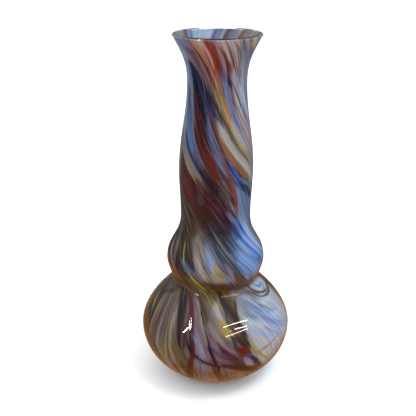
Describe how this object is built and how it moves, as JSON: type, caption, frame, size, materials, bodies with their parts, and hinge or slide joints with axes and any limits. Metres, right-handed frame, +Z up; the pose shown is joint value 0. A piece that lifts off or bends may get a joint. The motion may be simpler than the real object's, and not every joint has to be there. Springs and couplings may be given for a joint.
{
  "type": "art glass vase",
  "caption": "Hand blown glass vase with a squat bulb, pinched waist, knop, long neck and flared mouth, swirled with bands and threads of coloured glass.",
  "frame": {"origin": "middle of the ground foot, on the surface that the vase stands on", "axes": "+Z up along the vase's axis, -Y towards the side seen from the front, +X to the right"},
  "size_m": [0.1316, 0.1319, 0.3],
  "materials": {
    "clear_glass": "fire-polished clear glass",
    "olive_glass": "streaky coloured glass, fire-polished",
    "smoke_glass": "streaky coloured glass, fire-polished",
    "umber_glass": "streaky coloured glass, fire-polished",
    "mauve_glass": "streaky coloured glass, fire-polished",
    "aubergine_glass": "streaky coloured glass, fire-polished",
    "crimson_glass": "streaky coloured glass, fire-polished",
    "rose_glass": "streaky coloured glass, fire-polished",
    "straw_glass": "streaky coloured glass, fire-polished",
    "chestnut_glass": "streaky coloured glass, fire-polished",
    "opal_glass": "streaky coloured glass, fire-polished",
    "ice_glass": "streaky coloured glass, fire-polished",
    "brick_glass": "streaky coloured glass, fire-polished",
    "navy_glass": "streaky coloured glass, fire-polished",
    "russet_glass": "streaky coloured glass, fire-polished",
    "cobalt_glass": "streaky coloured glass, fire-polished",
    "copper_glass": "streaky coloured glass, fire-polished",
    "pearl_glass": "streaky coloured glass, fire-polished",
    "citron_glass": "streaky coloured glass, fire-polished",
    "slate_glass": "streaky coloured glass, fire-polished",
    "blush_glass": "streaky coloured glass, fire-polished",
    "navy_wedge_glass": "drawn coloured glass, fire-polished",
    "brick_streak_glass": "drawn coloured glass, fire-polished",
    "slate_thread_glass": "drawn coloured glass, fire-polished",
    "citron_thread_glass": "drawn coloured glass, fire-polished",
    "azure_thread_glass": "drawn coloured glass, fire-polished",
    "garnet_thread_glass": "drawn coloured glass, fire-polished",
    "ink_thread_glass": "drawn coloured glass, fire-polished",
    "copper_streak_glass": "drawn coloured glass, fire-polished",
    "cobalt_streak_glass": "drawn coloured glass, fire-polished",
    "deep_thread_glass": "drawn coloured glass, fire-polished",
    "bright_thread_glass": "drawn coloured glass, fire-polished",
    "red_lobe_glass": "drawn coloured glass, fire-polished",
    "moss_thread_glass": "drawn coloured glass, fire-polished",
    "crimson_thread_glass": "drawn coloured glass, fire-polished",
    "indigo_thread_glass": "drawn coloured glass, fire-polished",
    "amber_thread_glass": "drawn coloured glass, fire-polished",
    "teal_thread_glass": "drawn coloured glass, fire-polished",
    "straw_thread_glass": "drawn coloured glass, fire-polished",
    "navy_shard_glass": "drawn coloured glass, fire-polished",
    "looped_thread_glass": "drawn coloured glass, fire-polished",
    "citron_fleck_glass": "drawn coloured glass, fire-polished",
    "back_cobalt_streak_glass": "drawn coloured glass, fire-polished",
    "back_ink_thread_glass": "drawn coloured glass, fire-polished",
    "back_crimson_streak_glass": "drawn coloured glass, fire-polished",
    "back_straw_thread_glass": "drawn coloured glass, fire-polished"
  },
  "bodies": {
    "root": {"clear_body": "clear_glass", "olive_band": "olive_glass", "smoke_band": "smoke_glass", "umber_band": "umber_glass", "mauve_band": "mauve_glass", "aubergine_band": "aubergine_glass", "crimson_band": "crimson_glass", "rose_band": "rose_glass", "straw_band": "straw_glass", "chestnut_band": "chestnut_glass", "opal_band": "opal_glass", "ice_band": "ice_glass", "brick_band": "brick_glass", "navy_band": "navy_glass", "russet_band": "russet_glass", "cobalt_band": "cobalt_glass", "copper_band": "copper_glass", "pearl_band": "pearl_glass", "citron_band": "citron_glass", "slate_band": "slate_glass", "blush_band": "blush_glass", "navy_wedge": "navy_wedge_glass", "brick_streak": "brick_streak_glass", "slate_thread": "slate_thread_glass", "citron_thread": "citron_thread_glass", "azure_thread": "azure_thread_glass", "garnet_thread": "garnet_thread_glass", "ink_thread": "ink_thread_glass", "copper_streak": "copper_streak_glass", "cobalt_streak": "cobalt_streak_glass", "deep_thread": "deep_thread_glass", "bright_thread": "bright_thread_glass", "red_lobe": "red_lobe_glass", "moss_thread": "moss_thread_glass", "crimson_thread": "crimson_thread_glass", "indigo_thread": "indigo_thread_glass", "amber_thread": "amber_thread_glass", "teal_thread": "teal_thread_glass", "straw_thread": "straw_thread_glass", "navy_shard": "navy_shard_glass", "looped_thread": "looped_thread_glass", "citron_fleck": "citron_fleck_glass", "back_cobalt_streak": "back_cobalt_streak_glass", "back_ink_thread": "back_ink_thread_glass", "back_crimson_streak": "back_crimson_streak_glass", "back_straw_thread": "back_straw_thread_glass"}
  },
  "joints": []
}
